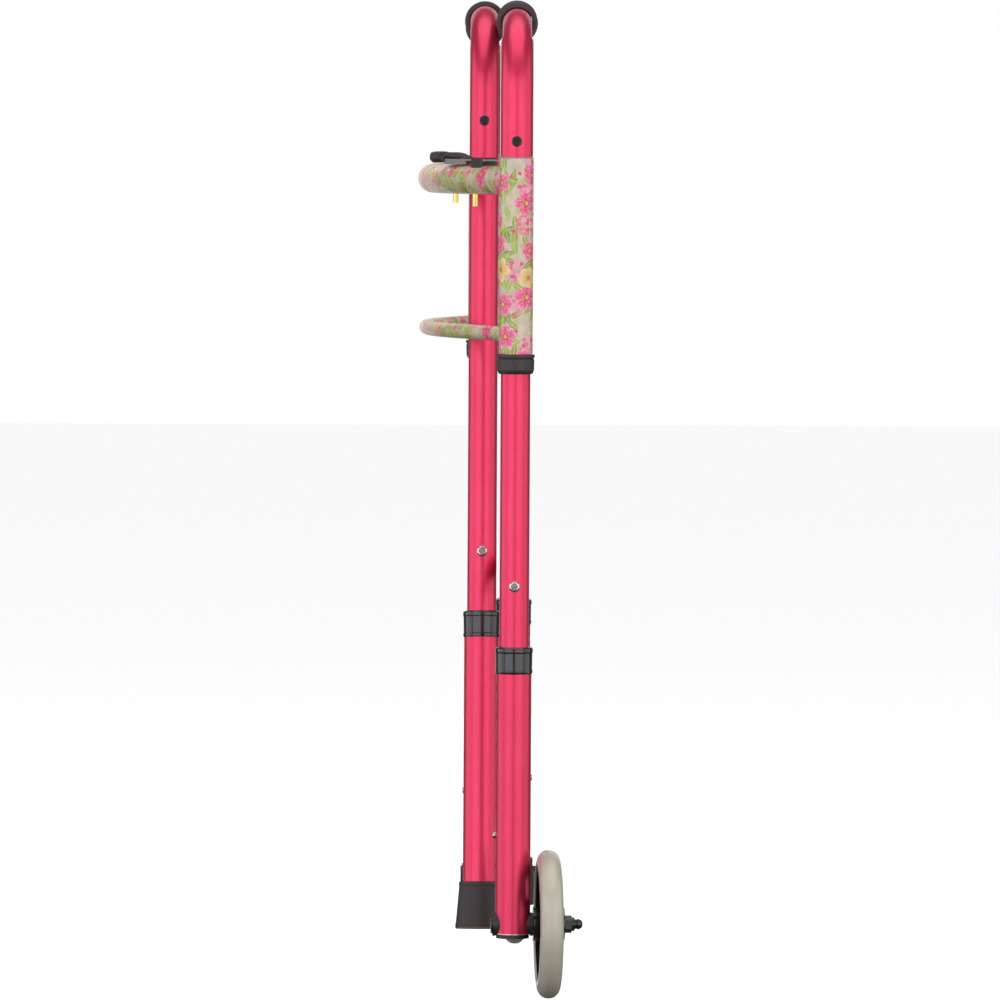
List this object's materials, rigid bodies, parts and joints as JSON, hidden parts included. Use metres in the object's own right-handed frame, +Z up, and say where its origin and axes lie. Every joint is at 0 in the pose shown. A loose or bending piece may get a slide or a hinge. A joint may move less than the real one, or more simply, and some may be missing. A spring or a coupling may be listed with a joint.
{
  "type": "folding front wheeled walker",
  "caption": "Folding walking frame with wheeled front legs, rubber-tipped rear legs, bowed crossbars and sliding latches, shown folded flat.",
  "frame": {"origin": "on the ground, at the middle of the folded walker's footprint", "axes": "+Z up along the pivot legs, +Y to the rear, +X to the near side"},
  "size_m": [0.627, 0.1318, 0.8566],
  "materials": {
    "pink_anodised_tube": "satin pink anodised aluminium",
    "floral_print": "cream printed film with pink, yellow and green flowers under a gloss clear coat",
    "black_plastic": "black moulded plastic, light gloss",
    "black_matte_plastic": "black moulded plastic, matte",
    "grip_foam": "black ribbed vinyl grip",
    "black_rubber": "matte black rubber",
    "grey_tyre": "warm grey solid rubber",
    "dark_steel": "black-coated steel",
    "bright_steel": "polished nickel-plated steel",
    "latch_steel": "formed steel strip",
    "brass": "bright brass",
    "nylon": "natural nylon"
  },
  "bodies": {
    "front_frame": {"upper_crossbar": "floral_print", "lower_crossbar": "floral_print", "near_pivot_sleeve": "floral_print", "near_pivot_bushes": "nylon", "near_latch_guide": "black_matte_plastic", "far_pivot_sleeve": "floral_print", "far_pivot_bushes": "nylon", "far_latch_guide": "black_matte_plastic"},
    "near_side_frame": {"near_side_tube": "pink_anodised_tube", "near_post_sleeve": "pink_anodised_tube", "near_pivot_collar": "black_matte_plastic", "near_handgrip": "grip_foam", "near_side_brace": "pink_anodised_tube", "near_brace_rivets": "bright_steel", "near_hole_plugs": "black_plastic"},
    "near_front_leg": {"near_front_extension": "pink_anodised_tube", "near_front_collar": "black_plastic", "near_end_plug": "black_matte_plastic", "near_axle_bolt": "dark_steel", "near_axle_saddles": "black_matte_plastic", "near_axle_nut": "dark_steel", "near_axle_cap": "black_plastic"},
    "near_rear_leg": {"near_rear_extension": "pink_anodised_tube", "near_rear_collar": "black_plastic", "near_rubber_tip": "black_rubber"},
    "near_wheel": {"near_tyre": "grey_tyre", "near_wheel_rim": "black_plastic", "near_wheel_bushes": "nylon"},
    "near_latch": {"near_latch_slide": "latch_steel", "near_latch_paddle": "black_matte_plastic", "near_latch_pin": "brass"},
    "near_front_button": {"near_front_snap_button": "bright_steel"},
    "near_rear_button": {"near_rear_snap_button": "bright_steel"},
    "far_side_frame": {"far_side_tube": "pink_anodised_tube", "far_post_sleeve": "pink_anodised_tube", "far_pivot_collar": "black_matte_plastic", "far_handgrip": "grip_foam", "far_side_brace": "pink_anodised_tube", "far_brace_rivets": "bright_steel", "far_hole_plugs": "black_plastic"},
    "far_front_leg": {"far_front_extension": "pink_anodised_tube", "far_front_collar": "black_plastic", "far_end_plug": "black_matte_plastic", "far_axle_bolt": "dark_steel", "far_axle_saddles": "black_matte_plastic", "far_axle_nut": "dark_steel", "far_axle_cap": "black_plastic"},
    "far_rear_leg": {"far_rear_extension": "pink_anodised_tube", "far_rear_collar": "black_plastic", "far_rubber_tip": "black_rubber"},
    "far_wheel": {"far_tyre": "grey_tyre", "far_wheel_rim": "black_plastic", "far_wheel_bushes": "nylon"},
    "far_latch": {"far_latch_slide": "latch_steel", "far_latch_paddle": "black_matte_plastic", "far_latch_pin": "brass"},
    "far_front_button": {"far_front_snap_button": "bright_steel"},
    "far_rear_button": {"far_rear_snap_button": "bright_steel"}
  },
  "joints": [
    {"name": "near_side_fold", "type": "hinge", "parent": "front_frame", "child": "near_side_frame", "pos_m": [0.25, 0.00575, 0.63], "axis": [0, 0, -1], "range_deg": [0, 86.8]},
    {"name": "near_front_leg_height", "type": "slide", "parent": "near_side_frame", "child": "near_front_leg", "axis": [0, 0, -1], "range_m": [-0.0254, 0.127]},
    {"name": "near_rear_leg_height", "type": "slide", "parent": "near_side_frame", "child": "near_rear_leg", "axis": [-0.1044, 0.0059, -0.9945], "range_m": [-0.0254, 0.127]},
    {"name": "near_wheel_spin", "type": "hinge", "parent": "near_front_leg", "child": "near_wheel", "pos_m": [0.25, 0.03655, 0.0635], "axis": [0, 1, 0], "continuous": true},
    {"name": "near_latch_slide", "type": "slide", "parent": "front_frame", "child": "near_latch", "axis": [-0.9397, -0.342, 0], "range_m": [0, 0.006], "stiffness_N_per_m": 400},
    {"name": "near_front_button_press", "type": "slide", "parent": "near_side_frame", "child": "near_front_button", "axis": [0.0564, 0.9984, 0], "range_m": [0, 0.0045], "stiffness_N_per_m": 800},
    {"name": "near_rear_button_press", "type": "slide", "parent": "near_side_frame", "child": "near_rear_button", "axis": [-0.0564, -0.9984, 0], "range_m": [0, 0.0045], "stiffness_N_per_m": 800},
    {"name": "far_side_fold", "type": "hinge", "parent": "front_frame", "child": "far_side_frame", "pos_m": [-0.25, 0.00575, 0.63], "axis": [0, 0, 1], "range_deg": [-2, 0]},
    {"name": "far_front_leg_height", "type": "slide", "parent": "far_side_frame", "child": "far_front_leg", "axis": [0, 0, -1], "range_m": [-0.0254, 0.127]},
    {"name": "far_rear_leg_height", "type": "slide", "parent": "far_side_frame", "child": "far_rear_leg", "axis": [0.1044, -0.0059, -0.9945], "range_m": [-0.0254, 0.127]},
    {"name": "far_wheel_spin", "type": "hinge", "parent": "far_front_leg", "child": "far_wheel", "pos_m": [-0.25, 0.03655, 0.0635], "axis": [0, 1, 0], "continuous": true},
    {"name": "far_latch_slide", "type": "slide", "parent": "front_frame", "child": "far_latch", "axis": [0.9397, -0.342, 0], "range_m": [0, 0.006], "stiffness_N_per_m": 400},
    {"name": "far_front_button_press", "type": "slide", "parent": "far_side_frame", "child": "far_front_button", "axis": [0.0564, 0.9984, 0], "range_m": [0, 0.0045], "stiffness_N_per_m": 800},
    {"name": "far_rear_button_press", "type": "slide", "parent": "far_side_frame", "child": "far_rear_button", "axis": [-0.0564, -0.9984, 0], "range_m": [0, 0.0045], "stiffness_N_per_m": 800}
  ]
}
